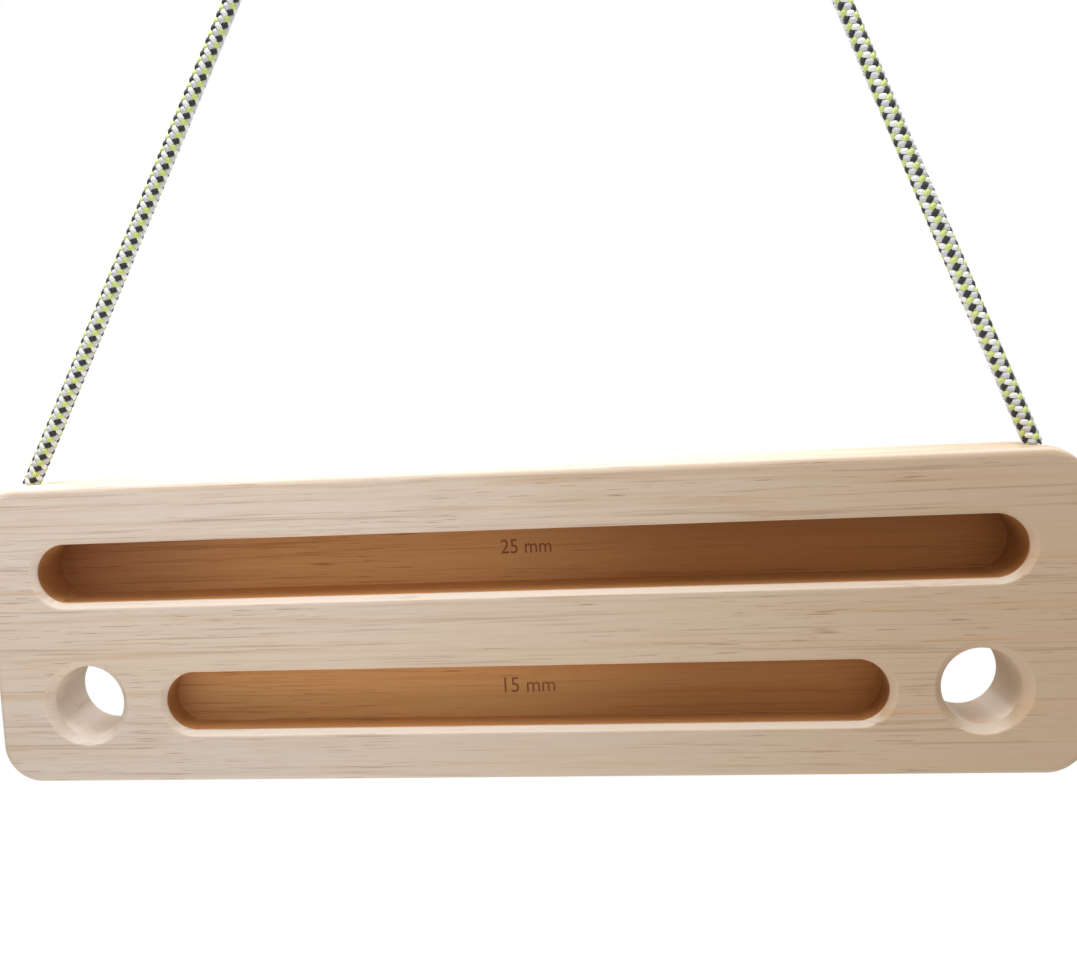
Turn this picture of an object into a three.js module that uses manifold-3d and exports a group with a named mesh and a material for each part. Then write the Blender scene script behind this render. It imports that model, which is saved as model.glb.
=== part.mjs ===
// A wooden hangboard that hangs on two braided cords, in millimetres with +Z up.
// The board's front face looks along -Y, and the origin is the point the cords hang from.
import * as THREE from "three";
import { mergeVertices } from "three/addons/utils/BufferGeometryUtils.js";
import Module from "manifold-3d";

// Board blank
const BOARD_LENGTH = 500;
const BOARD_HEIGHT = 144;
const BOARD_THICKNESS = 34;
const BOARD_CORNER_RADIUS = 18.5;
const BOARD_EDGE_RADIUS = 4;

// Finger slots, whose ends are full rounds
const DEEP_SLOT_LENGTH = 451;
const DEEP_SLOT_HEIGHT = 28.2;
const DEEP_SLOT_DEPTH = 25;
const DEEP_SLOT_BELOW_TOP = 42.3;
const SHALLOW_SLOT_LENGTH = 332.5;
const SHALLOW_SLOT_HEIGHT = 28;
const SHALLOW_SLOT_DEPTH = 15;
const SHALLOW_SLOT_ABOVE_BOTTOM = 38.7;
const SLOT_CHAMFER = 2.6;
const SLOT_FLOOR_RADIUS = 1;

// Round holes through the lower corners
const HOLE_DIAMETER = 34;
const HOLE_FROM_END = 44.5;
const HOLE_ABOVE_BOTTOM = 39.3;
const HOLE_CHAMFER = 3.9;

// How far the corners of every chamfer are eased
const CHAMFER_EASE = 0.6;

// Cord, its bores and the chambers of the stopper knots
const CORD_DIAMETER = 8.2;
const CORD_IN_BORE_CLEARANCE = 0.5;
const BORE_FROM_END = 16.7;
const BORE_MOUTH_RADIUS = 4;
const CHAMBER_DEPTH = 24;
const CHAMBER_CLEARANCE = 0.3;
const TAIL_ABOVE_BOTTOM = 5;

// Knots, each a barrel of wraps that the cord runs through
const WRAP_DIAMETER = 7;
const WRAP_GAP = 0.8;
const SEAT_GAP = 0.3;
const STOPPER_TURNS = 2;
const LOOP_KNOT_TURNS = 2;

// Roundness of the curves
const OUTLINE_SIDES = 64;
const FILLET_STEPS = 5;
const EASE_STEPS = 2;
const BORE_SIDES = 32;
const CORD_SIDES = 12;
const WRAP_SIDES = 8;
const WRAP_STEPS_PER_TURN = 16;
const CORD_STEPS = 52;
const BORE_CORD_STEPS = 6;
const BALL_RINGS = 4;
const CUT_OVERRUN = 2;

// Cord routes in the XZ plane, from the board's centre: bore mouth, then up to the knot and round the eye.
const LEFT_ROUTE = [
  [-233.3, 72], [-201.7, 130.7], [-158.6, 210.7], [-115.6, 290.6], [-104.1, 312],
  [-92.2, 334.1], [-88.6, 341.2], [-91.2, 351.6], [-92.2, 365.5], [-84.6, 381.3],
  [-70.4, 389.9], [-54.9, 386.9], [-46.2, 375.4], [-48.3, 361.3], [-60.7, 349.2],
  [-76.2, 337.4], [-84.4, 330.7],
];
const RIGHT_ROUTE = [
  [233.3, 72], [209.7, 131.2], [182.4, 199.4], [155.2, 267.5], [137.4, 312],
  [128, 335.3], [124.8, 342.7], [126.4, 353.3], [125.9, 367.2], [116.9, 382.3],
  [102.1, 389.7], [86.9, 385.3], [79.4, 373], [82.8, 359.2], [96.2, 348.2],
  [112.5, 337.7], [120.8, 331.5],
];
const KNOT_POINT_INDEX = 4;
const HANG_POINT_HEIGHT = 381;

const wasm = await Module();
wasm.setup();

const front = -BOARD_THICKNESS / 2;
const back = BOARD_THICKNESS / 2;
const top = BOARD_HEIGHT / 2;
const bottom = -BOARD_HEIGHT / 2;
const cordRadius = CORD_DIAMETER / 2;
const wrapRadius = WRAP_DIAMETER / 2;
const boreRadius = cordRadius + CORD_IN_BORE_CLEARANCE;
const boreX = BOARD_LENGTH / 2 - BORE_FROM_END;
const barrelRadius = cordRadius + SEAT_GAP + wrapRadius;
const chamberRadius = barrelRadius + wrapRadius + CHAMBER_CLEARANCE;
const wrapPitch = WRAP_DIAMETER + WRAP_GAP;

const wood = new THREE.MeshStandardMaterial({ color: 0xd2bb9e, roughness: 0.6, metalness: 0 });
const braid = new THREE.MeshStandardMaterial({ color: 0xcfd0cc, roughness: 0.85, metalness: 0 });

// Turns a closed geometry into a solid that can be cut and joined.
function solidOf(geometry) {
  const bare = new THREE.BufferGeometry();
  bare.setAttribute("position", geometry.getAttribute("position"));
  if (geometry.index) bare.setIndex(geometry.index);
  const merged = mergeVertices(bare);
  return new wasm.Manifold(new wasm.Mesh({
    numProp: 3,
    vertProperties: merged.attributes.position.array,
    triVerts: new Uint32Array(merged.index.array),
  }));
}

// Turns a solid back into a geometry with flat normals.
function geometryOf(solid) {
  const mesh = solid.getMesh();
  const geometry = new THREE.BufferGeometry();
  geometry.setAttribute("position", new THREE.BufferAttribute(mesh.vertProperties, mesh.numProp));
  geometry.setIndex(new THREE.BufferAttribute(mesh.triVerts, 1));
  const flat = geometry.toNonIndexed();
  flat.computeVertexNormals();
  return flat;
}

function namedMesh(name, geometry, material) {
  const mesh = new THREE.Mesh(geometry, material);
  mesh.name = name;
  return mesh;
}

// A rounded rectangle whose flats touch its width and height. With full rounds it is a slot or a circle.
function outlineAt(y, width, height, cornerRadius) {
  const step = (2 * Math.PI) / OUTLINE_SIDES;
  const reach = cornerRadius / Math.cos(step / 2);
  const points = [];
  for (let i = 0; i < OUTLINE_SIDES; i += 1) {
    const angle = (i + 0.5) * step;
    const side = Math.sign(Math.cos(angle));
    const level = Math.sign(Math.sin(angle));
    points.push(new THREE.Vector3(
      side * (width / 2 - cornerRadius) + reach * Math.cos(angle),
      y,
      level * (height / 2 - cornerRadius) + reach * Math.sin(angle),
    ));
  }
  return points;
}

// Joins outlines that follow one another along +Y into one closed solid.
function loft(rings) {
  const vertices = rings.flat();
  const count = rings[0].length;
  const indices = [];
  for (let r = 0; r < rings.length - 1; r += 1) {
    for (let i = 0; i < count; i += 1) {
      const a = r * count + i;
      const b = r * count + ((i + 1) % count);
      indices.push(a, b + count, b, a, a + count, b + count);
    }
  }
  const last = (rings.length - 1) * count;
  for (let i = 1; i < count - 1; i += 1) {
    indices.push(0, i, i + 1, last, last + i + 1, last + i);
  }
  const geometry = new THREE.BufferGeometry().setFromPoints(vertices);
  geometry.setIndex(indices);
  return solidOf(geometry);
}

// Quarter-round steps, as pairs of how far along and how far in, from 0, radius to radius, 0.
function quarterRound(radius) {
  const steps = [];
  for (let i = 0; i <= FILLET_STEPS; i += 1) {
    const angle = (i / FILLET_STEPS) * (Math.PI / 2);
    steps.push([radius * (1 - Math.cos(angle)), radius * (1 - Math.sin(angle))]);
  }
  return steps;
}

// A 45-degree chamfer with both corners eased, as pairs of how far behind the face and how far to the side.
function easedChamfer(size) {
  const onFace = new THREE.Vector2(0, size);
  const onSide = new THREE.Vector2(size, 0);
  const slope = onSide.clone().sub(onFace).setLength(CHAMFER_EASE);
  const corners = [
    [new THREE.Vector2(0, size + CHAMFER_EASE), onFace, onFace.clone().add(slope)],
    [onSide.clone().sub(slope), onSide, new THREE.Vector2(size + CHAMFER_EASE, 0)],
  ];
  return corners.flatMap(([from, corner, to]) => (
    new THREE.QuadraticBezierCurve(from, corner, to).getPoints(EASE_STEPS).map((p) => p.toArray())
  ));
}

// The board before it is cut: a plank with rounded corners and every edge rounded over.
function boardBlank() {
  const ringAt = (y, inset) => outlineAt(
    y,
    BOARD_LENGTH - 2 * inset,
    BOARD_HEIGHT - 2 * inset,
    BOARD_CORNER_RADIUS - inset,
  );
  const rounded = quarterRound(BOARD_EDGE_RADIUS);
  const frontRings = rounded.map(([along, inset]) => ringAt(front + along, inset));
  const backRings = rounded.map(([along, inset]) => ringAt(back - along, inset)).reverse();
  return loft([...frontRings, ...backRings]);
}

// The rings of a cutter's mouth at the front face, flared so that the wood's edge is left chamfered.
function mouthRings(width, height, chamfer) {
  const grown = (y, growth) => outlineAt(
    y,
    width + 2 * growth,
    height + 2 * growth,
    height / 2 + growth,
  );
  const flare = easedChamfer(chamfer).map(([along, growth]) => grown(front + along, growth));
  return [grown(front - CUT_OVERRUN, chamfer + CHAMFER_EASE), ...flare];
}

// The cutter of a finger slot with full-round ends, a chamfered mouth and a small radius at its back wall.
function slotCutter(length, height, depth, centreHeight) {
  const inner = (y, inset) => outlineAt(
    y,
    length - 2 * inset,
    height - 2 * inset,
    height / 2 - inset,
  );
  const wall = quarterRound(SLOT_FLOOR_RADIUS)
    .map(([along, inset]) => inner(front + depth - along, inset))
    .reverse();
  const mouth = mouthRings(length, height, SLOT_CHAMFER);
  return loft([...mouth, ...wall]).translate([0, 0, centreHeight]);
}

// The cutter of a round hole with the same chamfered mouth at both faces.
function holeCutter(x) {
  const near = mouthRings(HOLE_DIAMETER, HOLE_DIAMETER, HOLE_CHAMFER);
  const far = near.map((ring) => ring.map((p) => new THREE.Vector3(p.x, -p.y, p.z))).reverse();
  return loft([...near, ...far]).translate([x, 0, bottom + HOLE_ABOVE_BOTTOM]);
}

// The cutter of a cord's bore: a rounded mouth at the top edge, and the knot's chamber at the bottom.
function boreCutter(x) {
  const mouth = quarterRound(BORE_MOUTH_RADIUS)
    .map(([along, inset]) => new THREE.Vector2(boreRadius + inset, top - along))
    .reverse();
  const profile = [
    new THREE.Vector2(0, bottom - CUT_OVERRUN),
    new THREE.Vector2(chamberRadius, bottom - CUT_OVERRUN),
    new THREE.Vector2(chamberRadius, bottom + CHAMBER_DEPTH),
    new THREE.Vector2(boreRadius, bottom + CHAMBER_DEPTH),
    ...mouth,
    new THREE.Vector2(boreRadius + BORE_MOUTH_RADIUS, top + CUT_OVERRUN),
    new THREE.Vector2(0, top + CUT_OVERRUN),
  ];
  const lathe = new THREE.LatheGeometry(profile, BORE_SIDES);
  return solidOf(lathe.rotateX(Math.PI / 2).translate(x, 0, 0));
}

function makeBoard() {
  const holeX = BOARD_LENGTH / 2 - HOLE_FROM_END;
  const cutters = [
    slotCutter(DEEP_SLOT_LENGTH, DEEP_SLOT_HEIGHT, DEEP_SLOT_DEPTH, top - DEEP_SLOT_BELOW_TOP),
    slotCutter(
      SHALLOW_SLOT_LENGTH,
      SHALLOW_SLOT_HEIGHT,
      SHALLOW_SLOT_DEPTH,
      bottom + SHALLOW_SLOT_ABOVE_BOTTOM,
    ),
    holeCutter(-holeX),
    holeCutter(holeX),
    boreCutter(-boreX),
    boreCutter(boreX),
  ];
  const cut = cutters.reduce((wooden, cutter) => wooden.subtract(cutter), boardBlank());
  return namedMesh("board", geometryOf(cut), wood);
}

// A round section for a tube along a curve.
function roundSection(radius, sides) {
  const points = [];
  for (let i = 0; i < sides; i += 1) {
    const angle = ((i + 0.5) / sides) * 2 * Math.PI;
    points.push(new THREE.Vector2(radius * Math.cos(angle), radius * Math.sin(angle)));
  }
  return new THREE.Shape(points);
}

function tube(curve, radius, sides, steps) {
  return solidOf(new THREE.ExtrudeGeometry(roundSection(radius, sides), {
    steps,
    extrudePath: curve,
  }));
}

// The free cord: a ball at the bore's mouth, a taut strand up to its knot, and an eye that comes back to it.
function freeCord(name, route) {
  const points = route.map(([x, z]) => new THREE.Vector3(x, 0, z));
  const curve = new THREE.CatmullRomCurve3(points, false, "centripetal");
  const ball = new THREE.SphereGeometry(cordRadius, CORD_SIDES, BALL_RINGS * 2);
  ball.rotateX(Math.PI / 2).translate(points[0].x, 0, points[0].z);
  const cord = tube(curve, cordRadius, CORD_SIDES, CORD_STEPS).add(solidOf(ball));
  return namedMesh(name, geometryOf(cord), braid);
}

// The length of cord inside the board, from just under the mouth's ball to its tail below the knot.
function boreCord(name, x) {
  const start = new THREE.Vector3(x, 0, top - cordRadius - SEAT_GAP);
  const end = new THREE.Vector3(x, 0, bottom + TAIL_ABOVE_BOTTOM);
  const curve = new THREE.LineCurve3(start, end);
  const cord = tube(curve, cordRadius, CORD_SIDES, BORE_CORD_STEPS);
  return namedMesh(name, geometryOf(cord), braid);
}

// A barrel of wraps round a straight cord that starts at the given point and runs along the given way.
class WrapCurve extends THREE.Curve {
  constructor(start, along, across, turns) {
    super();
    this.start = start;
    this.along = along;
    this.across = across;
    this.beside = new THREE.Vector3().crossVectors(along, across);
    this.turns = turns;
  }

  getPoint(t) {
    const turned = t * this.turns;
    const angle = turned * 2 * Math.PI;
    const rise = wrapRadius + turned * wrapPitch;
    return this.start.clone()
      .addScaledVector(this.along, rise)
      .addScaledVector(this.across, barrelRadius * Math.cos(angle))
      .addScaledVector(this.beside, barrelRadius * Math.sin(angle));
  }
}

function wraps(name, start, along, across, turns) {
  const curve = new WrapCurve(start, along, across, turns);
  const knot = tube(curve, wrapRadius, WRAP_SIDES, Math.round(turns * WRAP_STEPS_PER_TURN));
  return namedMesh(name, geometryOf(knot), braid);
}

// The knot that seats under the roof of its chamber and holds the board up.
function stopperKnot(name, x, inward) {
  const start = new THREE.Vector3(x, 0, bottom + CHAMBER_DEPTH - SEAT_GAP);
  return wraps(name, start, new THREE.Vector3(0, 0, -1), inward, STOPPER_TURNS);
}

// The knot that closes the eye of a free cord, wrapped round the strand below the eye.
function loopKnot(name, route, inward) {
  const [x, z] = route[KNOT_POINT_INDEX];
  const [fromX, fromZ] = route[KNOT_POINT_INDEX - 1];
  const along = new THREE.Vector3(x - fromX, 0, z - fromZ).normalize();
  const across = new THREE.Vector3(0, 1, 0).cross(along).multiplyScalar(inward.x);
  return wraps(name, new THREE.Vector3(x, 0, z), along, across, LOOP_KNOT_TURNS);
}

const hangboard = new THREE.Group();
hangboard.add(makeBoard());
for (const [side, sign, route] of [["left", -1, LEFT_ROUTE], ["right", 1, RIGHT_ROUTE]]) {
  const inward = new THREE.Vector3(-sign, 0, 0);
  hangboard.add(freeCord(`${side}_cord`, route));
  hangboard.add(loopKnot(`${side}_loop_knot`, route, inward));
  hangboard.add(boreCord(`${side}_bore_cord`, sign * boreX));
  hangboard.add(stopperKnot(`${side}_stopper_knot`, sign * boreX, inward));
}
hangboard.position.z = -HANG_POINT_HEIGHT;

export default hangboard;
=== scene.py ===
# %% [markdown]
# # A wooden hangboard on braided cords
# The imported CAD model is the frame. This script dresses it: it carves the plank again with finer curves,
# grows the wood's grain in a material, and braids the cords strand by strand with Geometry Nodes.

# %% Load the frame
import math

import bmesh
import bpy
from mathutils import Matrix, Vector


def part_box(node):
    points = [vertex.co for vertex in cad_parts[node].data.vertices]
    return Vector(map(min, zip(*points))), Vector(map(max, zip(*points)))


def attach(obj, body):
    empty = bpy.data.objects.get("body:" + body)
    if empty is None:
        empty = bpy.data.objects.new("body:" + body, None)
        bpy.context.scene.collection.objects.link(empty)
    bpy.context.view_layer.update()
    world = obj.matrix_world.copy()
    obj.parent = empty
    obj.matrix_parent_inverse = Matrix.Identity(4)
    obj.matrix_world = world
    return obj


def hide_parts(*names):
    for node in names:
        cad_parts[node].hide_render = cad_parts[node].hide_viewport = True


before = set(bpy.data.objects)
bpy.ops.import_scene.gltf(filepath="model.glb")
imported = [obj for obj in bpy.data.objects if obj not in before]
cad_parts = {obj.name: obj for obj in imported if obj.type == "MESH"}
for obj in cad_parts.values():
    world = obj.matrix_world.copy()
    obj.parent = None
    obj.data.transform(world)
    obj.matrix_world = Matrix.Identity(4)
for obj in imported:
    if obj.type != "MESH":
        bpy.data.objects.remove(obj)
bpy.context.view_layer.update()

# %% [markdown]
# ## Sizes
# Everything is in metres in the CAD's own frame: the origin is the point that the cords hang from, the
# board's front face looks along -Y, and the board's centre lies `BOARD_DROP` below the origin.
# The board's overall size comes from the frame, so the two models can't drift apart.

# %% Sizes
MM = 0.001
BOARD_DROP = 381 * MM

board_low, board_high = (Vector(corner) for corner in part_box("board"))
board_size = board_high - board_low
board_centre = (board_high + board_low) / 2
front_y, back_y = board_low.y, board_high.y
top_z, bottom_z = board_high.z, board_low.z

BOARD_CORNER_RADIUS = 18.5 * MM
BOARD_EDGE_RADIUS = 4 * MM
CHAMFER_EASE = 0.6 * MM

DEEP_SLOT = {"length": 451 * MM, "height": 28.2 * MM, "depth": 25 * MM, "centre": 29.7 * MM}
SHALLOW_SLOT = {"length": 332.5 * MM, "height": 28 * MM, "depth": 15 * MM, "centre": -33.3 * MM}
SLOT_CHAMFER = 2.6 * MM
SLOT_FLOOR_RADIUS = 0.4 * MM

HOLE_DIAMETER = 34 * MM
HOLE_X = 205.5 * MM
HOLE_CENTRE = -32.7 * MM
HOLE_CHAMFER = 3.9 * MM

CORD_DIAMETER = 8.2 * MM
WRAP_DIAMETER = 7 * MM
BORE_RADIUS = 4.6 * MM
BORE_X = 233.3 * MM
BORE_MOUTH_RADIUS = 4 * MM
CHAMBER_RADIUS = 11.7 * MM
CHAMBER_DEPTH = 24 * MM

# %% [markdown]
# ## Object helpers
# Each piece is made from data of its own, and pieces that modifiers or curves have shaped are turned into
# plain meshes.

# %% Object helpers


def new_object(name, data):
    """An object with this data, in the scene."""
    made = bpy.data.objects.new(name, data)
    bpy.context.scene.collection.objects.link(made)
    return made


def plain_mesh(made):
    """A mesh of an object's shape with its modifiers applied."""
    return bpy.data.meshes.new_from_object(made.evaluated_get(bpy.context.evaluated_depsgraph_get()))


# %% [markdown]
# ## Camera
# The photograph is taken from a little above and to the right, close enough that the right end looks larger.
# The camera's place and turn were fitted to the board's edges, slots and holes. The picture's centre isn't
# quite the lens's own centre, so the camera has a small shift.

# %% Camera
PHOTO_WIDTH, PHOTO_HEIGHT = 1077, 976
FOCAL_PIXELS = 924.0
LENS_CENTRE_PIXELS = (500.0, 455.0)
CAMERA_FROM_BOARD = Vector((37.97, -426.27, 111.57)) * MM
CAMERA_TURN_LEFT = 0.0954
CAMERA_LOOK_DOWN = 0.0814
CAMERA_ROLL = -0.0494
SENSOR_WIDTH = 36.0


def place_camera():
    """Sets a camera whose picture is the photograph's frame."""
    data = bpy.data.cameras.new("camera")
    data.sensor_fit = "HORIZONTAL"
    data.sensor_width = SENSOR_WIDTH
    data.lens = FOCAL_PIXELS / PHOTO_WIDTH * SENSOR_WIDTH
    data.shift_x = (PHOTO_WIDTH / 2 - LENS_CENTRE_PIXELS[0]) / PHOTO_WIDTH
    data.shift_y = (LENS_CENTRE_PIXELS[1] - PHOTO_HEIGHT / 2) / PHOTO_WIDTH
    forward = Vector((
        -math.sin(CAMERA_TURN_LEFT) * math.cos(CAMERA_LOOK_DOWN),
        math.cos(CAMERA_TURN_LEFT) * math.cos(CAMERA_LOOK_DOWN),
        -math.sin(CAMERA_LOOK_DOWN),
    ))
    level = forward.to_track_quat("-Z", "Y").to_matrix().to_4x4()
    roll = Matrix.Rotation(CAMERA_ROLL, 4, "Z")
    camera = new_object("camera", data)
    camera.matrix_world = Matrix.Translation(board_centre + CAMERA_FROM_BOARD) @ level @ roll
    bpy.context.scene.camera = camera


place_camera()

# %% [markdown]
# ## Node helpers
# Materials and Geometry Nodes trees are graphs. A few small functions add a node with its settings and join
# its sockets, so each tree below reads as a list of steps.

# %% Node helpers


def add_node(tree, kind, **settings):
    """Adds a node and sets its properties and, by socket name, its inputs."""
    node = tree.nodes.new(kind)
    for name, value in settings.pop("inputs", {}).items():
        node.inputs[name].default_value = value
    for name, value in settings.items():
        setattr(node, name, value)
    return node


def math_node(tree, operation, first, second=None, third=None):
    """A maths node on sockets or numbers. Gives its output socket."""
    node = tree.nodes.new("ShaderNodeMath")
    node.operation = operation
    for place, value in enumerate((first, second, third)):
        if isinstance(value, (int, float)):
            node.inputs[place].default_value = value
        elif value is not None:
            tree.links.new(value, node.inputs[place])
    return node.outputs[0]


def mix_colours(tree, share, first, second, blend="MIX"):
    """Mixes two colours, each a socket or a colour, by a share. Gives the mixed colour's socket."""
    node = tree.nodes.new("ShaderNodeMix")
    node.data_type = "RGBA"
    node.blend_type = blend
    for place, value in ((0, share), (6, first), (7, second)):
        if isinstance(value, (int, float, tuple)):
            node.inputs[place].default_value = value
        else:
            tree.links.new(value, node.inputs[place])
    return node.outputs[2]


def colour(red, green, blue):
    """A colour given in the photograph's own 0 to 255 values, as the linear colour that nodes use."""

    def linear(value):
        share = value / 255
        return share / 12.92 if share <= 0.04045 else ((share + 0.055) / 1.055) ** 2.4

    return (linear(red), linear(green), linear(blue), 1.0)


def material_with_shader(name, roughness, **sockets):
    """A new material, its tree and its shader."""
    material = bpy.data.materials.new(name)
    material.use_nodes = True
    tree = material.node_tree
    shader = tree.nodes["Principled BSDF"]
    shader.inputs["Roughness"].default_value = roughness
    for socket, value in sockets.items():
        shader.inputs[socket.replace("_", " ")].default_value = value
    return material, tree, shader


# %% [markdown]
# ## Wood
# Pale sawn wood is several things at once: a slow drift of tone, long soft bands of grain that follow the
# plank, fine fibres, thin dark lines, and short flecks, the pores that the saw has opened. All of them are
# noises stretched along X. The lines and flecks fade on end grain, and on the sanded walls of the holes.
#
# The plank is paler towards its top edge, a painted highlight for the light from above, and warmer towards
# its right end, which is the wood's own tone. The slopes that look up, which are the upper round-over and
# the lower chamfers,
# are painted paler than the faces: a painted highlight where the lamp above falls on them. The slots are a
# warmer brown, so the same wood is multiplied there by a tint, which starts at the chamfer's inner edge. The
# tint is darker at the slots' ends and on their floors, as painted shade.

# %% Wood
WOOD_PALE = colour(206, 190, 174)
WOOD_TAN = colour(207, 186, 162)
# Painted highlight: the paler tone towards the plank's top edge, for the light from above.
WOOD_TOP_LIGHT = colour(236, 220, 205)
WOOD_WARM = colour(182, 155, 124)
WOOD_BAND = colour(190, 155, 118)
WOOD_FLECK = colour(146, 112, 84)
# Painted highlight: the paler tone of the slopes that look up, where the lamp above falls on them.
WOOD_LIT_SLOPE = colour(238, 229, 218)
COLD_TO_WARM = (-0.15, 0.25)

# How much of each colour is mixed in where it is strongest.
TOP_LIGHT_SHARE = 0.55
WARM_SHARE = 0.8
BAND_SHARE, EXTRA_BAND_SHARE_WHERE_WARM = 0.5, 0.3
FIBRE_SHARE = 0.22
LINE_SHARE = 0.4
FLECK_SHARE = 0.65
LIT_SLOPE_SHARE = 0.35
FIBRE_RELIEF = 0.5
GRAIN_RELIEF = 0.15 * MM

# The values of each noise at which its feature starts and is full.
DRIFT_RANGE = (0.35, 0.7)
BAND_RANGE = (0.5, 0.72)
FIBRE_RANGE = (0.4, 0.75)
LINE_RANGE = (0.56, 0.7)
PORE_RANGE = (0.6, 0.72)
PATCH_RANGE = (0.4, 0.6)

# Tints of the routed wood: at the left end, then the middle, then the right, and on two kinds of wall. The
# darker tints at the two ends and on the floors are painted shade, where little light reaches; the end-grain
# tint is the wood's own.
ROUTED_LEFT_SHADE = colour(205, 150, 102)
ROUTED_MIDDLE = colour(254, 208, 148)
ROUTED_RIGHT_SHADE = colour(218, 164, 98)
# Painted shade: the darker tint of the slots' floors, which look up but get little light from above.
ROUTED_FLOOR_SHADE = colour(230, 184, 130)
ROUTED_END_GRAIN = colour(202, 153, 102)
LEFT_TO_MIDDLE = (-0.23, -0.11)
MIDDLE_TO_RIGHT = (-0.04, 0.1)
ROUTED_DEPTHS = (2.6 * MM, 3.8 * MM)

# How much of a face's normal along an axis counts as facing that way: where it starts and where it is full.
END_GRAIN_FACING = (0.3, 0.7)
LEDGE_FACING = (0.3, 0.8)
SLOPE_FACING = (0.5, 0.7)
LEVEL_FACING = (0.85, 1.0)


def stretched_noise(tree, coordinates, stretch, detail, roughness=0.55, distortion=0.0):
    """A noise in object space whose cells are drawn out along the grain."""
    mapping = add_node(tree, "ShaderNodeMapping", inputs={"Scale": stretch})
    tree.links.new(coordinates, mapping.inputs["Vector"])
    noise = add_node(
        tree,
        "ShaderNodeTexNoise",
        inputs={"Scale": 1.0, "Detail": detail, "Roughness": roughness, "Distortion": distortion},
    )
    tree.links.new(mapping.outputs[0], noise.inputs["Vector"])
    return noise.outputs["Fac"]


def between(tree, value, start, end):
    """How far a value has come from start to end, kept within 0 and 1."""
    node = add_node(tree, "ShaderNodeMapRange", clamp=True, interpolation_type="SMOOTHSTEP")
    for socket, number in (("From Min", start), ("From Max", end)):
        node.inputs[socket].default_value = number
    tree.links.new(value, node.inputs["Value"])
    return node.outputs[0]


def outside_the_holes(tree, place):
    """1 on the faces and 0 on the walls of the two round holes, from the axes of a place."""
    across = math_node(tree, "SUBTRACT", math_node(tree, "ABSOLUTE", place["X"]), HOLE_X)
    up = math_node(tree, "SUBTRACT", place["Z"], board_centre.z + HOLE_CENTRE)
    squares = math_node(tree, "MULTIPLY_ADD", across, across, math_node(tree, "MULTIPLY", up, up))
    from_axis = math_node(tree, "SQRT", squares)
    return between(tree, from_axis, HOLE_DIAMETER / 2, HOLE_DIAMETER / 2 + HOLE_CHAMFER)


def separated(tree, vector):
    """The three axes of a vector socket."""
    axes = add_node(tree, "ShaderNodeSeparateXYZ")
    tree.links.new(vector, axes.inputs[0])
    return axes.outputs


def routed_tint(tree, place, facing, end_grain):
    """The colour that routed wood is multiplied by: it changes along the slots and on their walls. Its
    darker tints towards the slots' ends and on their floors are painted shade.
    """
    # Painted shade: the tint darkens towards both ends of the slots, where little light reaches.
    tint = mix_colours(tree, between(tree, place["X"], *LEFT_TO_MIDDLE), ROUTED_LEFT_SHADE, ROUTED_MIDDLE)
    tint = mix_colours(tree, between(tree, place["X"], *MIDDLE_TO_RIGHT), tint, ROUTED_RIGHT_SHADE)
    # Painted shade: floors that look up are tinted darker, as the light from above hardly reaches them.
    tint = mix_colours(tree, between(tree, facing["Z"], *LEDGE_FACING), tint, ROUTED_FLOOR_SHADE)
    return mix_colours(tree, end_grain, tint, ROUTED_END_GRAIN)


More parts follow.
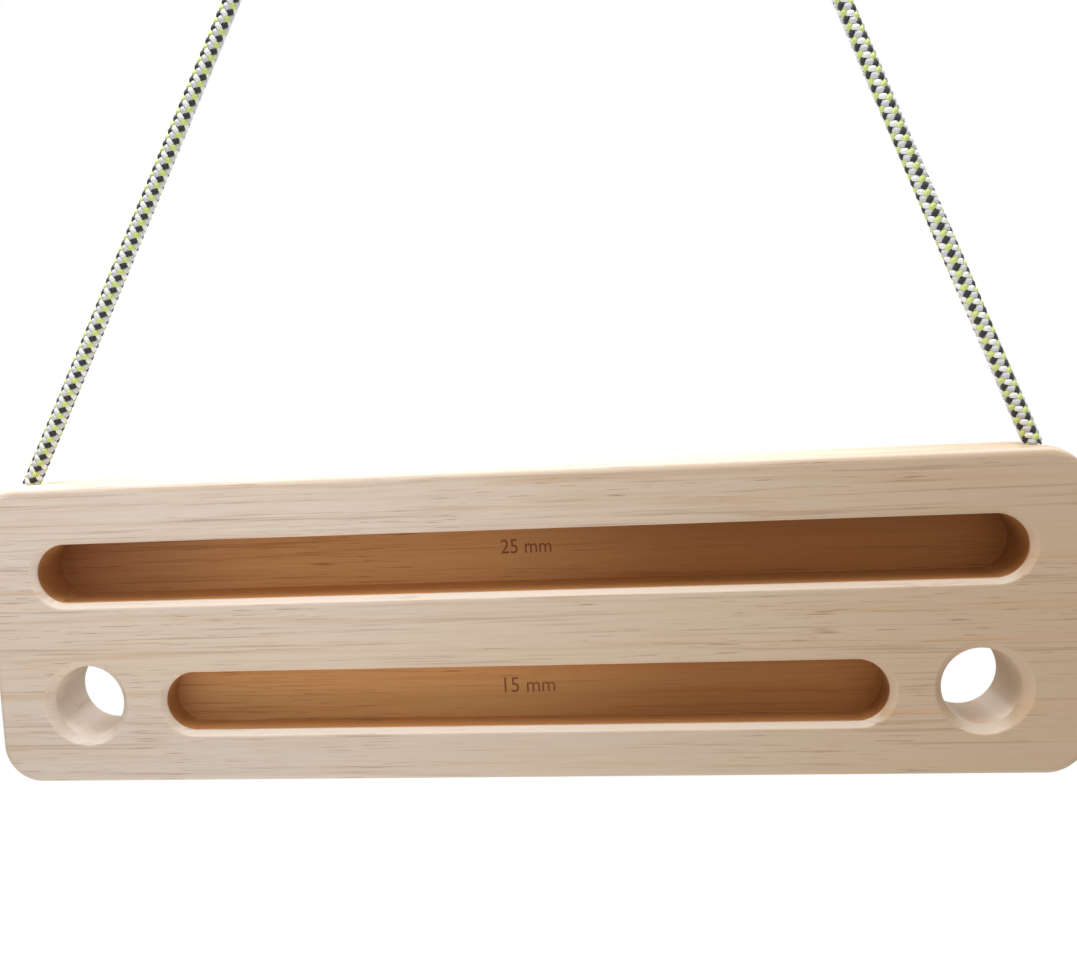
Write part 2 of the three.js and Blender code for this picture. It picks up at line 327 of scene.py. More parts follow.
def make_wood(name, routed):
    """Pale plank wood. The routed kind is the inside of the slots."""
    wood, tree, shader = material_with_shader(name, 0.58, Specular_IOR_Level=0.35)

    def part_of(socket, share):
        """A socket times a share, which is a number or a socket."""
        return math_node(tree, "MULTIPLY", socket, share)

    coordinates = add_node(tree, "ShaderNodeTexCoord").outputs
    grain = coordinates["Object"]
    place, facing = separated(tree, grain), separated(tree, coordinates["Normal"])
    drift = stretched_noise(tree, grain, (2.2, 9, 14), detail=2)
    bands = stretched_noise(tree, grain, (5, 70, 190), detail=5, roughness=0.62, distortion=0.6)
    fibres = stretched_noise(tree, grain, (28, 500, 900), detail=3)
    pores = stretched_noise(tree, grain, (48, 600, 1300), detail=2, roughness=0.5)
    patches = stretched_noise(tree, grain, (12, 40, 60), detail=2)
    lines = stretched_noise(tree, grain, (10, 320, 760), detail=3, roughness=0.6)

    warmth = between(tree, place["X"], *COLD_TO_WARM)
    end_grain = between(tree, math_node(tree, "ABSOLUTE", facing["X"]), *END_GRAIN_FACING)
    long_grain = math_node(tree, "SUBTRACT", 1.0, end_grain)
    streaked = part_of(long_grain, outside_the_holes(tree, place))

    tone = mix_colours(tree, between(tree, drift, *DRIFT_RANGE), WOOD_PALE, WOOD_TAN)
    # Painted highlight: the wood is mixed paler towards the top edge, for the light from above.
    rise = between(tree, place["Z"], bottom_z, top_z)
    tone = mix_colours(tree, part_of(rise, TOP_LIGHT_SHARE), tone, WOOD_TOP_LIGHT)
    tone = mix_colours(tree, part_of(warmth, WARM_SHARE), tone, WOOD_WARM)
    band_share = math_node(tree, "MULTIPLY_ADD", warmth, EXTRA_BAND_SHARE_WHERE_WARM, BAND_SHARE)
    tone = mix_colours(tree, part_of(between(tree, bands, *BAND_RANGE), band_share), tone, WOOD_BAND)
    tone = mix_colours(tree, part_of(between(tree, fibres, *FIBRE_RANGE), FIBRE_SHARE), tone, WOOD_BAND)
    lines = part_of(between(tree, lines, *LINE_RANGE), streaked)
    tone = mix_colours(tree, part_of(lines, LINE_SHARE), tone, WOOD_FLECK)
    flecks = part_of(between(tree, pores, *PORE_RANGE), between(tree, patches, *PATCH_RANGE))
    flecks = part_of(flecks, streaked)
    tone = mix_colours(tree, part_of(flecks, FLECK_SHARE), tone, WOOD_FLECK)

    # Painted highlight: slopes that look up are mixed paler, where the lamp above falls on them; the level
    # top is left out.
    lit_slopes = between(tree, facing["Z"], *SLOPE_FACING)
    lit_slopes = math_node(tree, "SUBTRACT", lit_slopes, between(tree, facing["Z"], *LEVEL_FACING))
    if routed:
        depth = between(tree, place["Y"], *(front_y + d for d in ROUTED_DEPTHS))
        lit_slopes = part_of(lit_slopes, math_node(tree, "SUBTRACT", 1.0, depth))
    tone = mix_colours(tree, part_of(lit_slopes, LIT_SLOPE_SHARE), tone, WOOD_LIT_SLOPE)
    if routed:
        tint = routed_tint(tree, place, facing, end_grain)
        tone = mix_colours(tree, depth, tone, tint, "MULTIPLY")
    tree.links.new(tone, shader.inputs["Base Color"])

    height = math_node(tree, "SUBTRACT", part_of(fibres, FIBRE_RELIEF), flecks)
    bump = add_node(tree, "ShaderNodeBump", inputs={"Strength": 0.18, "Distance": GRAIN_RELIEF})
    tree.links.new(height, bump.inputs["Height"])
    tree.links.new(bump.outputs[0], shader.inputs["Normal"])
    return wood


plain_wood = make_wood("plain_wood", routed=False)
routed_wood = make_wood("routed_wood", routed=True)

# %% [markdown]
# ## The plank
# The plank and every cutter are lofts: closed outlines that follow one another from front to back. An
# outline is a rounded rectangle, which with full rounds is a slot and with equal sides a circle. Growing or
# shrinking it along a profile makes each edge's shape, as a router's bit does: a quarter circle round the
# plank, and a 45-degree chamfer with eased corners at the mouths of the slots and holes.

# %% The plank
OUTLINE_SIDES = 160
FILLET_STEPS = 10
EASE_STEPS = 5
BORE_SIDES = 64
CUT_OVERRUN = 2 * MM
BEHIND_THE_FACE = 0.2 * MM
SHARP_FROM = math.radians(35)


def outline(y, width, height, corner_radius, centre=(0, 0)):
    """A rounded rectangle in a plane of constant y. Its flats touch the width and height."""
    step = 2 * math.pi / OUTLINE_SIDES
    reach = corner_radius / math.cos(step / 2)
    points = []
    for i in range(OUTLINE_SIDES):
        angle = (i + 0.5) * step
        across = math.copysign(width / 2 - corner_radius, math.cos(angle)) + reach * math.cos(angle)
        up = math.copysign(height / 2 - corner_radius, math.sin(angle)) + reach * math.sin(angle)
        points.append(Vector((centre[0] + across, y, centre[1] + up)))
    return points


def round_over(radius):
    """Steps of a quarter circle, as pairs of how far along and how far in."""
    turns = [i / FILLET_STEPS * math.pi / 2 for i in range(FILLET_STEPS + 1)]
    return [(radius * (1 - math.cos(t)), radius * (1 - math.sin(t))) for t in turns]


def eased_chamfer(size):
    """A chamfer with both corners eased, as pairs of how far behind the face and how far to the side."""
    on_face, on_side = Vector((0, size)), Vector((size, 0))
    slope = (on_side - on_face).normalized() * CHAMFER_EASE
    corners = (
        (Vector((0, size + CHAMFER_EASE)), on_face, on_face + slope),
        (on_side - slope, on_side, Vector((size + CHAMFER_EASE, 0))),
    )
    steps = []
    for start, corner, end in corners:
        for i in range(EASE_STEPS + 1):
            t = i / EASE_STEPS
            steps.append(start * (1 - t) ** 2 + corner * 2 * t * (1 - t) + end * t * t)
    return steps


def closed_loft(name, rings):
    """Joins rings of equal count into a closed mesh object."""
    mesh = bmesh.new()
    made = [[mesh.verts.new(p) for p in ring] for ring in rings]
    for ring, following in zip(made, made[1:]):
        for i in range(len(ring)):
            j = (i + 1) % len(ring)
            mesh.faces.new((ring[i], ring[j], following[j], following[i]))
    mesh.faces.new(made[0])
    mesh.faces.new(made[-1])
    bmesh.ops.recalc_face_normals(mesh, faces=mesh.faces)
    return object_from(name, mesh)


def object_from(name, mesh):
    """Turns a bmesh into an object in the scene."""
    data = bpy.data.meshes.new(name)
    mesh.to_mesh(data)
    mesh.free()
    return new_object(name, data)


def plank_blank():
    """The plank with every outer edge rounded over."""

    def ring(y, inset):
        size = (board_size.x - 2 * inset, board_size.z - 2 * inset)
        return outline(y, *size, BOARD_CORNER_RADIUS - inset, (board_centre.x, board_centre.z))

    profile = round_over(BOARD_EDGE_RADIUS)
    front = [ring(front_y + along, inset) for along, inset in profile]
    back = [ring(back_y - along, inset) for along, inset in profile]
    return closed_loft("hangboard_plank", front + back[::-1])


def mouth_rings(width, height, chamfer, centre):
    """The rings of a cutter's mouth at the front face, from outside inwards."""

    def ring(y, growth):
        return outline(y, width + 2 * growth, height + 2 * growth, height / 2 + growth, centre)

    flare = [ring(front_y + along, growth) for along, growth in eased_chamfer(chamfer)]
    return [ring(front_y - CUT_OVERRUN, chamfer + CHAMFER_EASE)] + flare


def slot_cutter(name, slot):
    """The cutter of a finger slot, with a small radius all round its back wall."""
    centre = (board_centre.x, board_centre.z + slot["centre"])
    rings = mouth_rings(slot["length"], slot["height"], SLOT_CHAMFER, centre)
    for along, inset in reversed(round_over(SLOT_FLOOR_RADIUS)):
        size = (slot["length"] - 2 * inset, slot["height"] - 2 * inset)
        rings.append(outline(front_y + slot["depth"] - along, *size, slot["height"] / 2 - inset, centre))
    return closed_loft(name, rings)


def hole_cutter(name, x):
    """The cutter of a through hole, chamfered alike at both faces."""
    near = mouth_rings(HOLE_DIAMETER, HOLE_DIAMETER, HOLE_CHAMFER, (x, board_centre.z + HOLE_CENTRE))
    middle = front_y + back_y
    far = [[Vector((p.x, middle - p.y, p.z)) for p in ring] for ring in near]
    return closed_loft(name, near + far[::-1])


def bore_cutter(name, x):
    """The cutter of a cord's bore, turned round an upright axis: mouth, bore and knot chamber."""
    profile = [
        (CHAMBER_RADIUS, bottom_z - CUT_OVERRUN),
        (CHAMBER_RADIUS, bottom_z + CHAMBER_DEPTH),
        (BORE_RADIUS, bottom_z + CHAMBER_DEPTH),
    ]
    for along, inset in reversed(round_over(BORE_MOUTH_RADIUS)):
        profile.append((BORE_RADIUS + inset, top_z - along))
    profile.append((BORE_RADIUS + BORE_MOUTH_RADIUS, top_z + CUT_OVERRUN))
    turns = [i / BORE_SIDES * 2 * math.pi for i in range(BORE_SIDES)]
    rings = [
        [Vector((x + r * math.cos(t), board_centre.y + r * math.sin(t), z)) for t in turns]
        for r, z in profile
    ]
    return closed_loft(name, rings)


def cut(board, cutter):
    """Cuts one solid out of the board, and removes the cutter."""
    modifier = board.modifiers.new("cut", "BOOLEAN")
    modifier.operation = "DIFFERENCE"
    modifier.solver = "EXACT"
    modifier.object = cutter
    result = plain_mesh(board)
    board.modifiers.remove(modifier)
    board.data = result
    bpy.data.objects.remove(cutter)


def in_a_slot(point):
    """Whether a point lies inside either finger slot, behind the board's face."""
    reach = SLOT_CHAMFER + CHAMFER_EASE
    for slot in (DEEP_SLOT, SHALLOW_SLOT):
        inside_x = abs(point.x - board_centre.x) < slot["length"] / 2 + reach
        inside_z = abs(point.z - board_centre.z - slot["centre"]) < slot["height"] / 2 + reach
        if inside_x and inside_z and front_y + BEHIND_THE_FACE < point.y < back_y - BEHIND_THE_FACE:
            return True
    return False


def make_plank():
    """Carves the plank, shades it smooth with flat faces kept flat, and gives the slots their own wood."""
    board = plank_blank()
    cut(board, slot_cutter("deep_slot_cutter", DEEP_SLOT))
    cut(board, slot_cutter("shallow_slot_cutter", SHALLOW_SLOT))
    for sign in (-1, 1):
        cut(board, hole_cutter("hole_cutter", sign * HOLE_X))
        cut(board, bore_cutter("bore_cutter", sign * BORE_X))
    board.data.materials.clear()
    board.data.materials.append(plain_wood)
    board.data.materials.append(routed_wood)
    for face in board.data.polygons:
        face.use_smooth = True
        face.material_index = int(in_a_slot(face.center))
    board.data.set_sharp_from_angle(angle=SHARP_FROM)
    weighted = board.modifiers.new("flat_faces", "WEIGHTED_NORMAL")
    weighted.keep_sharp = True
    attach(board, "plank")
    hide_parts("board")
    return board


plank = make_plank()

# %% [markdown]
# ## Depth marks
# Each slot has its depth lightly burnt into its back wall as a plain number. The marks are flat letters
# a few hundredths of a millimetre proud of the wall, in a darker brown.

# %% Depth marks
MARK_PROUD = 0.06 * MM
MARK_NARROWNESS = 0.9
MARK_DARK, MARK_LIGHT = colour(124, 74, 44), colour(152, 98, 62)


def make_mark_material():
    """Burnt wood: brown with a little of the grain's unevenness."""
    burnt, tree, shader = material_with_shader("burnt_wood", 0.75, Specular_IOR_Level=0.2)
    place = add_node(tree, "ShaderNodeTexCoord").outputs["Object"]
    grain = stretched_noise(tree, place, (60, 400, 700), detail=3)
    tone = mix_colours(tree, grain, MARK_DARK, MARK_LIGHT)
    tree.links.new(tone, shader.inputs["Base Color"])
    return burnt


burnt_wood = make_mark_material()


def depth_mark(name, words, slot, size, x, above):
    """Flat text on a slot's back wall, turned into a mesh in the row frame."""
    text = bpy.data.curves.new(name, "FONT")
    text.body = words
    text.size = size
    text.align_x = "CENTER"
    text.align_y = "CENTER"
    text.extrude = MARK_PROUD / 2
    holder = new_object(name, text)
    mesh = plain_mesh(holder)
    bpy.data.objects.remove(holder)
    wall = front_y + slot["depth"] - MARK_PROUD / 2
    centre = Vector((board_centre.x + x, wall, board_centre.z + slot["centre"] + above))
    narrowed = Matrix.Diagonal((MARK_NARROWNESS, 1, 1, 1))
    mesh.transform(Matrix.Translation(centre) @ Matrix.Rotation(math.pi / 2, 4, "X") @ narrowed)
    mark = new_object(name, mesh)
    mark.data.materials.clear()
    mark.data.materials.append(burnt_wood)
    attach(mark, "plank")


depth_mark("deep_slot_number", "25 mm", DEEP_SLOT, size=9.8 * MM, x=6.8 * MM, above=2 * MM)
depth_mark("shallow_slot_number", "15 mm", SHALLOW_SLOT, size=10.4 * MM, x=5.4 * MM, above=0.7 * MM)

# %% [markdown]
# ## Braided sheath
# The sheath has eight strands: four wind one way round the cord and four the other, each passing over and
# under the ones it meets. Where a strand stands at angle `a` round the cord, its distance from the middle
# is a mean radius plus `cos(4 a)` times a small swing, and the other set swings the opposite way. So the
# crossings line up in eight columns, which alternate between the two sets. A slight twist then turns the
# whole braid along its cord, so the columns wander round it, as they do on a cord that has been handled.
# One set alternates neon and black, and the other white and grey, as the photograph shows.
#
# The shares below are of the cord's radius: a strand's half width, its swing, and the core's radius as a
# part of the strands' mean one. A strand's section is flattened against the core.

# %% Braided sheath
STRANDS_EACH_WAY = 4
TURN_LENGTH = 12.6 * MM
STEPS_PER_TURN = 36
FEWEST_STEPS = 12
STRAND_SIDES = 6
CORE_SIDES = 12
STRAND_SHARE = 0.345
FLATNESS = 0.42
SWING_SHARE = 0.11
CORE_SHARE = 0.98


def set_input(modifier, tree, name, value):
    """Sets a Geometry Nodes input by its socket's identifier."""
    for item in tree.interface.items_tree:
        if item.item_type == "SOCKET" and item.in_out == "INPUT" and item.name == name:
            modifier[item.identifier] = value


def braid_tree(material):
    """A Geometry Nodes tree that turns a line into a round braid of two opposed sets of strands."""
    tree = bpy.data.node_groups.new("round_braid", "GeometryNodeTree")
    sockets = tree.interface
    sockets.new_socket("Geometry", in_out="INPUT", socket_type="NodeSocketGeometry")
    for name, kind in (
        ("Diameter", "NodeSocketFloat"),
        ("Turn Length", "NodeSocketFloat"),
        ("Start Angle", "NodeSocketFloat"),
        ("Twist", "NodeSocketFloat"),
        ("Strands Each Way", "NodeSocketInt"),
        ("Steps", "NodeSocketInt"),
    ):
        sockets.new_socket(name, in_out="INPUT", socket_type=kind)
    sockets.new_socket("Geometry", in_out="OUTPUT", socket_type="NodeSocketGeometry")
    given = add_node(tree, "NodeGroupInput").outputs
    link = tree.links.new
    even = add_node(tree, "GeometryNodeResampleCurve")
    link(given["Geometry"], even.inputs["Curve"])
    link(given["Steps"], even.inputs["Count"])
    join = add_node(tree, "GeometryNodeJoinGeometry")
    radius = math_node(tree, "MULTIPLY", given["Diameter"], 0.5)
    strand_radius = math_node(tree, "MULTIPLY", radius, STRAND_SHARE)
    swing = math_node(tree, "MULTIPLY", radius, SWING_SHARE)
    middle = math_node(tree, "MULTIPLY", radius, 1 - SWING_SHARE - STRAND_SHARE * FLATNESS)
    for way in (-1, 1):
        link(one_set(tree, given, even.outputs[0], way, middle, swing, strand_radius), join.inputs[0])
    link(core_tube(tree, even.outputs[0], middle), join.inputs[0])
    smooth = add_node(tree, "GeometryNodeSetShadeSmooth")
    link(join.outputs[0], smooth.inputs[0])
    real = add_node(tree, "GeometryNodeRealizeInstances")
    link(smooth.outputs[0], real.inputs[0])
    painted = add_node(tree, "GeometryNodeSetMaterial")
    painted.inputs["Material"].default_value = material
    link(real.outputs[0], painted.inputs["Geometry"])
    link(painted.outputs[0], add_node(tree, "NodeGroupOutput").inputs[0])
    return tree


def one_set(tree, given, line, way, middle, swing, strand_radius):
    """The strands that wind one way. way is 1 or -1."""
    link = tree.links.new
    copies = add_node(tree, "GeometryNodeDuplicateElements", domain="SPLINE")
    link(line, copies.inputs["Geometry"])
    link(given["Strands Each Way"], copies.inputs["Amount"])
    tinted = add_node(tree, "GeometryNodeStoreNamedAttribute", data_type="FLOAT", domain="CURVE")
    tinted.inputs["Name"].default_value = "strand"
    link(copies.outputs["Geometry"], tinted.inputs["Geometry"])
    parity = math_node(tree, "MODULO", copies.outputs["Duplicate Index"], 2)
    number = math_node(tree, "ADD", parity, 1 if way > 0 else 3)
    link(number, tinted.inputs["Value"])
    travelled = add_node(tree, "GeometryNodeSplineParameter").outputs["Length"]
    turns = math_node(tree, "DIVIDE", travelled, given["Turn Length"])
    start = math_node(tree, "DIVIDE", copies.outputs["Duplicate Index"], given["Strands Each Way"])
    angle = math_node(tree, "MULTIPLY", math_node(tree, "MULTIPLY_ADD", turns, way, start), 2 * math.pi)
    lobes = math_node(tree, "COSINE", math_node(tree, "MULTIPLY", angle, given["Strands Each Way"]))
    angle = math_node(tree, "ADD", angle, given["Start Angle"])
    angle = math_node(tree, "MULTIPLY_ADD", travelled, given["Twist"], angle)
    rise = math_node(tree, "MULTIPLY", math_node(tree, "MULTIPLY", lobes, way), swing)
    reach = math_node(tree, "ADD", middle, rise)
    normal = add_node(tree, "GeometryNodeInputNormal").outputs[0]
    tangent = add_node(tree, "GeometryNodeInputTangent").outputs[0]
    beside = add_node(tree, "ShaderNodeVectorMath", operation="CROSS_PRODUCT")
    link(tangent, beside.inputs[0])
    link(normal, beside.inputs[1])
    along_normal = math_node(tree, "MULTIPLY", reach, math_node(tree, "COSINE", angle))
    out = scaled(tree, normal, along_normal)
    along_beside = math_node(tree, "MULTIPLY", reach, math_node(tree, "SINE", angle))
    aside = scaled(tree, beside.outputs[0], along_beside)
    offset = add_node(tree, "ShaderNodeVectorMath", operation="ADD")
    link(out, offset.inputs[0])
    link(aside, offset.inputs[1])
    kept = add_node(tree, "GeometryNodeCaptureAttribute", domain="POINT")
    kept.capture_items.new("VECTOR", "Spoke")
    link(tinted.outputs[0], kept.inputs["Geometry"])
    link(offset.outputs[0], kept.inputs["Spoke"])
    facing = add_node(tree, "GeometryNodeSetCurveNormal", mode="FREE")
    link(kept.outputs["Geometry"], facing.inputs["Curve"])
    link(kept.outputs["Spoke"], facing.inputs["Normal"])
    moved = add_node(tree, "GeometryNodeSetPosition")
    link(facing.outputs[0], moved.inputs["Geometry"])
    link(kept.outputs["Spoke"], moved.inputs["Offset"])
    circle = add_node(tree, "GeometryNodeCurvePrimitiveCircle", inputs={"Resolution": STRAND_SIDES})
    link(strand_radius, circle.inputs["Radius"])
    section = add_node(tree, "GeometryNodeTransform", inputs={"Scale": (FLATNESS, 1, 1)})
    link(circle.outputs[0], section.inputs["Geometry"])
    tube = add_node(tree, "GeometryNodeCurveToMesh")
    tube.inputs["Fill Caps"].default_value = True
    link(moved.outputs[0], tube.inputs["Curve"])
    link(section.outputs[0], tube.inputs["Profile Curve"])
    return tube.outputs[0]


def scaled(tree, vector, size):
    """A vector times a number, as a socket."""
    node = add_node(tree, "ShaderNodeVectorMath", operation="SCALE")
    tree.links.new(vector, node.inputs[0])
    tree.links.new(size, node.inputs["Scale"])
    return node.outputs[0]


def core_tube(tree, line, radius):
    """The cord's core, which closes the sheath's gaps."""
    section = add_node(tree, "GeometryNodeCurvePrimitiveCircle", inputs={"Resolution": CORE_SIDES})
    tree.links.new(math_node(tree, "MULTIPLY", radius, CORE_SHARE), section.inputs["Radius"])
    tube = add_node(tree, "GeometryNodeCurveToMesh")
    tube.inputs["Fill Caps"].default_value = True
    tree.links.new(line, tube.inputs["Curve"])
    tree.links.new(section.outputs[0], tube.inputs["Profile Curve"])
    return tube.outputs[0]


# %% [markdown]
# ## Cord material
# Each strand carries a number, so one material can paint them all: 0 is the core, 1 and 2 are the neon and
# black strands, and 3 and 4 the white and grey ones. A very fine noise stands for the yarn's fuzz: it
# varies the tone a little and gives a bump.

# %% Cord material
STRAND_COLOURS = [
    colour(150, 150, 146),
    colour(208, 222, 132),
    colour(50, 50, 48),
    colour(240, 240, 238),
    colour(208, 208, 212),
]
FUZZ_SCALE = 2600.0
DARKEST_FUZZ, FUZZ_RANGE = 0.75, 0.5


def make_cord_material():
    """Polyester yarn in the colour of its strand."""
    yarn, tree, shader = material_with_shader(
        "braided_yarn",
        0.72,
        Specular_IOR_Level=0.3,
        Sheen_Weight=0.25,
        Sheen_Roughness=0.5,
    )
    strand = add_node(tree, "ShaderNodeAttribute", attribute_name="strand").outputs["Fac"]
    tone = STRAND_COLOURS[0]
    for number, shade in enumerate(STRAND_COLOURS[1:], start=1):
        reached = math_node(tree, "GREATER_THAN", strand, number - 0.5)
        tone = mix_colours(tree, reached, tone, shade)
    place = add_node(tree, "ShaderNodeTexCoord").outputs["Object"]
    fuzz = add_node(tree, "ShaderNodeTexNoise", inputs={"Scale": FUZZ_SCALE, "Detail": 2.0})
    tree.links.new(place, fuzz.inputs["Vector"])
    shade = math_node(tree, "MULTIPLY_ADD", fuzz.outputs["Fac"], FUZZ_RANGE, DARKEST_FUZZ)
    grey = add_node(tree, "ShaderNodeCombineColor")
    for socket in grey.inputs:
        tree.links.new(shade, socket)
    tone = mix_colours(tree, 1.0, tone, grey.outputs[0], "MULTIPLY")
    tree.links.new(tone, shader.inputs["Base Color"])
    bump = add_node(tree, "ShaderNodeBump", inputs={"Strength": 0.5, "Distance": 0.12 * MM})
    tree.links.new(fuzz.outputs["Fac"], bump.inputs["Height"])
    tree.links.new(bump.outputs[0], shader.inputs["Normal"])
    return yarn


cord_braid = braid_tree(make_cord_material())

# %% [markdown]
# ## Cord routes
# Each free cord leaves its bore's mouth, runs up taut past the top of the picture, and ends just outside it
# in a tied eye that goes over whatever the board hangs from. The points repeat the CAD's, in millimetres
# from the board's centre. A smooth line through them is sampled finely before it is braided.

# %% Cord routes
LEFT_ROUTE = [
    (-233.3, 72), (-201.7, 130.7), (-158.6, 210.7), (-115.6, 290.6), (-104.1, 312),
    (-92.2, 334.1), (-88.6, 341.2), (-91.2, 351.6), (-92.2, 365.5), (-84.6, 381.3),
    (-70.4, 389.9), (-54.9, 386.9), (-46.2, 375.4), (-48.3, 361.3), (-60.7, 349.2),
    (-76.2, 337.4), (-84.4, 330.7),
]
RIGHT_ROUTE = [
    (233.3, 72), (209.7, 131.2), (182.4, 199.4), (155.2, 267.5), (137.4, 312),
    (128, 335.3), (124.8, 342.7), (126.4, 353.3), (125.9, 367.2), (116.9, 382.3),
    (102.1, 389.7), (86.9, 385.3), (79.4, 373), (82.8, 359.2), (96.2, 348.2),
    (112.5, 337.7), (120.8, 331.5),
]
KNOT_POINT = 4
SAMPLES_PER_STRETCH = 12


def smooth_line(points):
    """A centripetal Catmull-Rom curve through the points, sampled between each pair."""
    ends = [2 * points[0] - points[1]] + points + [2 * points[-1] - points[-2]]
    line = []
    for a, b, c, d in zip(ends, ends[1:], ends[2:], ends[3:]):
        t1 = (b - a).length ** 0.5
        t2 = t1 + (c - b).length ** 0.5
        t3 = t2 + (d - c).length ** 0.5
        for i in range(SAMPLES_PER_STRETCH):
            t = t1 + (t2 - t1) * i / SAMPLES_PER_STRETCH
            ab = a * ((t1 - t) / t1) + b * (t / t1)
            bc = b * ((t2 - t) / (t2 - t1)) + c * ((t - t1) / (t2 - t1))
            cd = c * ((t3 - t) / (t3 - t2)) + d * ((t - t2) / (t3 - t2))
            abc = ab * ((t2 - t) / t2) + bc * (t / t2)
            bcd = bc * ((t3 - t) / (t3 - t1)) + cd * ((t - t1) / (t3 - t1))
            line.append(abc * ((t2 - t) / (t2 - t1)) + bcd * ((t - t1) / (t2 - t1)))
    line.append(points[-1])
    return line


def in_row_frame(route):
    """Route points in metres in the row frame."""
    return [Vector((x * MM, 0, z * MM - BOARD_DROP)) for x, z in route]


def length_of(line):
    """The length of a line of points."""
    return sum((b - a).length for a, b in zip(line, line[1:]))


def braided(name, line, diameter, start_angle=0.0, twist=0.0):
    """A braided cord along a line, as a plain mesh. The twist turns the whole braid, in radians a metre."""
    data = bpy.data.curves.new(name + "_line", "CURVE")
    data.dimensions = "3D"
    spline = data.splines.new("POLY")
    spline.points.add(len(line) - 1)
    for point, place in zip(spline.points, line):
        point.co = (*place, 1)
    holder = new_object(name + "_line", data)
    modifier = holder.modifiers.new("braid", "NODES")
    modifier.node_group = cord_braid
    steps = round(length_of(line) / TURN_LENGTH * STEPS_PER_TURN)
    for socket, value in (
        ("Diameter", diameter),
        ("Turn Length", TURN_LENGTH),
        ("Start Angle", start_angle),
        ("Twist", twist),
        ("Strands Each Way", STRANDS_EACH_WAY),
        ("Steps", max(FEWEST_STEPS, steps)),
    ):
        set_input(modifier, cord_braid, socket, value)
    mesh = plain_mesh(holder)
    bpy.data.objects.remove(holder)
    return new_object(name, mesh)


# %% [markdown]
# ## Knots
# A knot is a barrel of wraps round the cord: the line of the wraps is a helix just outside the cord, so the
# same braid follows it. The stopper knots sit in the board's chambers, and the upper ones close the eyes.

# %% Knots
SEAT_GAP = 0.3 * MM
WRAP_PITCH = 7.8 * MM
KNOT_TURNS = 2
STEPS_PER_WRAP = 40
barrel_radius = CORD_DIAMETER / 2 + SEAT_GAP + WRAP_DIAMETER / 2


def wrap_line(start, along, across):
    """The helix of a knot's wraps, from its start along the cord."""
    beside = along.cross(across)
    line = []
    for i in range(KNOT_TURNS * STEPS_PER_WRAP + 1):
        turned = i / STEPS_PER_WRAP
        angle = turned * 2 * math.pi
        spoke = across * math.cos(angle) + beside * math.sin(angle)
        rise = WRAP_DIAMETER / 2 + turned * WRAP_PITCH
        line.append(start + along * rise + spoke * barrel_radius)
    return line


def make_cord_side(side, sign, route, start_angle, twist):
    """One side's free cord with its eye and knot, and its length in the bore with the stopper knot."""
    points = in_row_frame(route)
    line = smooth_line(points)
    cord = braided(f"{side}_braided_cord", line, CORD_DIAMETER, start_angle, twist)
    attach(cord, "sling")
    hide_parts(f"{side}_cord")

    inward = Vector((-sign, 0, 0))
    along = (points[KNOT_POINT] - points[KNOT_POINT - 1]).normalized()
    across = Vector((0, 1, 0)).cross(along) * inward.x
    knot = braided(f"{side}_eye_knot", wrap_line(points[KNOT_POINT], along, across), WRAP_DIAMETER)
    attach(knot, "sling")
    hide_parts(f"{side}_loop_knot")

    low, high = (Vector(corner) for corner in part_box(f"{side}_bore_cord"))
    middle = (low + high) / 2
    inner_line = [Vector((middle.x, middle.y, z)) for z in (high.z, middle.z, low.z)]
    inner = braided(f"{side}_cord_in_bore", inner_line, CORD_DIAMETER)
    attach(inner, "plank")
    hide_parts(f"{side}_bore_cord")

    roof = Vector((middle.x, middle.y, bottom_z + CHAMBER_DEPTH - SEAT_GAP))
    stopper = braided(f"{side}_stopper", wrap_line(roof, Vector((0, 0, -1)), inward), WRAP_DIAMETER)
    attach(stopper, "plank")
    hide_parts(f"{side}_stopper_knot")


make_cord_side("left", -1, LEFT_ROUTE, start_angle=0.45, twist=2.0)
make_cord_side("right", 1, RIGHT_ROUTE, start_angle=-1.25, twist=9.6)

# %% [markdown]
# ## Studio
# The surroundings are white to the camera only, through Light Path, so they add no light of their own
# beyond a plain level. The floor is pale and matt and takes the board's shadow below it, and fades into the
# white further out. A soft lamp almost straight above makes the slots' lower lips nearly white and leaves
# the slots' inner walls in shade, as in the photograph. A weak lamp from below in front lifts the chamfers
# that look down, and one from behind reaches the walls of the two holes.

# %% Studio
FLOOR_DROP = 0.9
FLOOR_HALF_SIDE = 6
FLOOR_COLOUR = colour(205, 205, 205)
FLOOR_FADES_FROM = 0.4
FLOOR_WHITE_FROM = 1.1
WHITE = (1, 1, 1, 1)
FILL_STRENGTH = 0.7
LAMPS = (
    # name, place from the board's centre, side, watts
    ("overhead", (-0.12, -0.12, 1.1), 0.6, 15),
    ("low_light", (-0.1, -0.4, -0.7), 0.5, 3),
    ("back_light", (0.0, 1.0, 0.55), 1.2, 9),
)


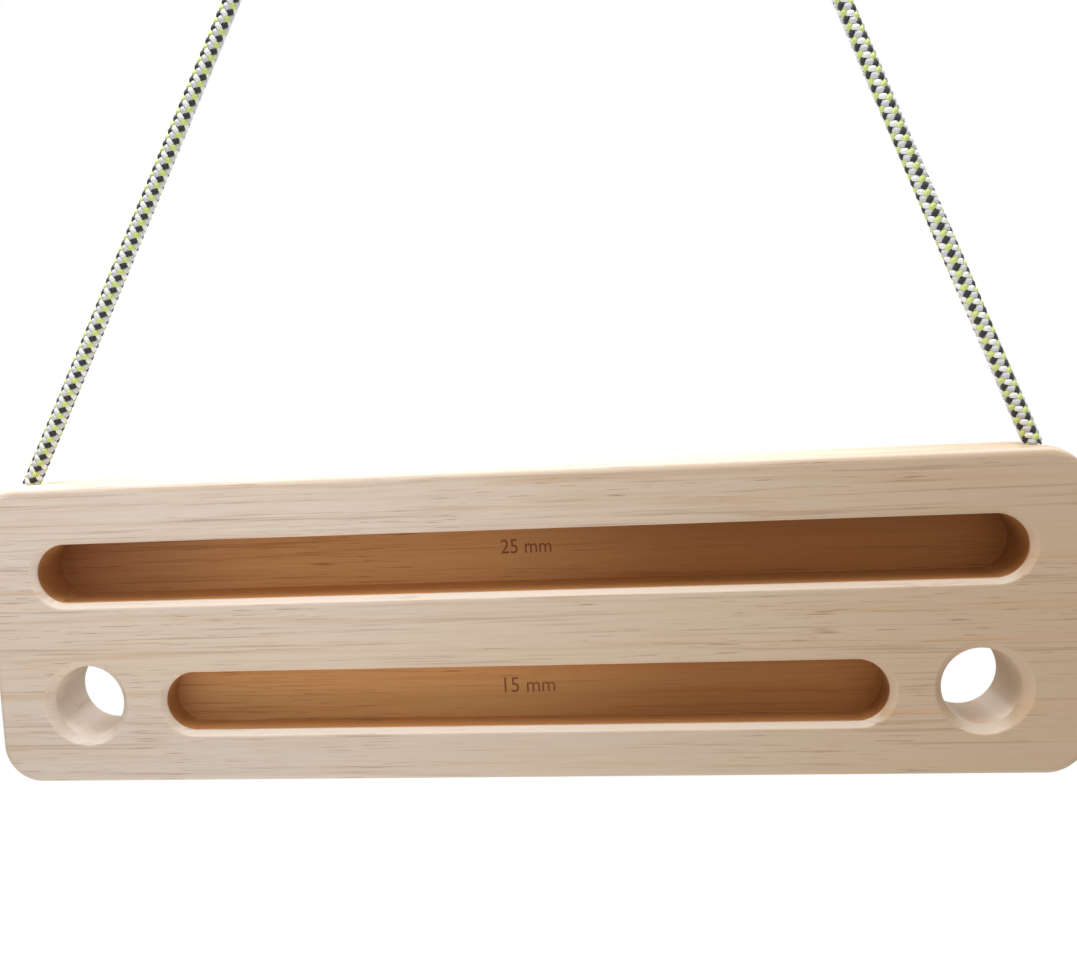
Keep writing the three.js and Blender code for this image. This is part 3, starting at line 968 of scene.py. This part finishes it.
def make_floor_material(name):
    """A pale matt floor, which fades with distance into the white that only the camera sees."""
    pale, tree, shader = material_with_shader(name, 0.9)
    shader.inputs["Base Color"].default_value = FLOOR_COLOUR
    away = add_node(tree, "ShaderNodeVectorMath", operation="LENGTH")
    tree.links.new(add_node(tree, "ShaderNodeTexCoord").outputs["Object"], away.inputs[0])
    faded = between(tree, away.outputs["Value"], FLOOR_FADES_FROM, FLOOR_WHITE_FROM)
    path = add_node(tree, "ShaderNodeLightPath")
    seen = add_node(tree, "ShaderNodeEmission", inputs={"Color": WHITE, "Strength": 1.0})
    mixed = add_node(tree, "ShaderNodeMixShader")
    white_share = math_node(tree, "MULTIPLY", path.outputs["Is Camera Ray"], faded)
    tree.links.new(white_share, mixed.inputs[0])
    tree.links.new(shader.outputs[0], mixed.inputs[1])
    tree.links.new(seen.outputs[0], mixed.inputs[2])
    tree.links.new(mixed.outputs[0], tree.nodes["Material Output"].inputs["Surface"])
    return pale


def make_floor():
    """A wide pale floor well below the hanging board."""
    mesh = bmesh.new()
    bmesh.ops.create_grid(mesh, x_segments=1, y_segments=1, size=FLOOR_HALF_SIDE)
    floor = object_from("studio_floor", mesh)
    floor.location = (0, 0, bottom_z - FLOOR_DROP)
    floor.data.materials.append(make_floor_material("studio_floor"))


def soft_lamp(name, offset, side, watts):
    """A square area lamp, offset from the board's centre and looking at it."""
    data = bpy.data.lights.new(name, "AREA")
    data.shape = "SQUARE"
    data.size = side
    data.energy = watts
    lamp = new_object(name, data)
    look = (-Vector(offset)).to_track_quat("-Z", "Y").to_matrix().to_4x4()
    lamp.matrix_world = Matrix.Translation(board_centre + Vector(offset)) @ look
    lamp.visible_camera = False


def light_the_world():
    """An even white surrounding: plain fill for the object and white for the camera."""
    world = bpy.data.worlds.new("studio_air")
    bpy.context.scene.world = world
    world.use_nodes = True
    tree = world.node_tree
    fill = tree.nodes["Background"]
    fill.inputs["Color"].default_value = WHITE
    fill.inputs["Strength"].default_value = FILL_STRENGTH
    seen = add_node(tree, "ShaderNodeBackground", inputs={"Color": WHITE, "Strength": 1.0})
    path = add_node(tree, "ShaderNodeLightPath")
    mixed = add_node(tree, "ShaderNodeMixShader")
    tree.links.new(path.outputs["Is Camera Ray"], mixed.inputs[0])
    tree.links.new(fill.outputs[0], mixed.inputs[1])
    tree.links.new(seen.outputs[0], mixed.inputs[2])
    tree.links.new(mixed.outputs[0], tree.nodes["World Output"].inputs["Surface"])


make_floor()
light_the_world()
for name, offset, side, watts in LAMPS:
    soft_lamp(name, offset, side, watts)

bpy.context.scene.view_settings.view_transform = "Standard"
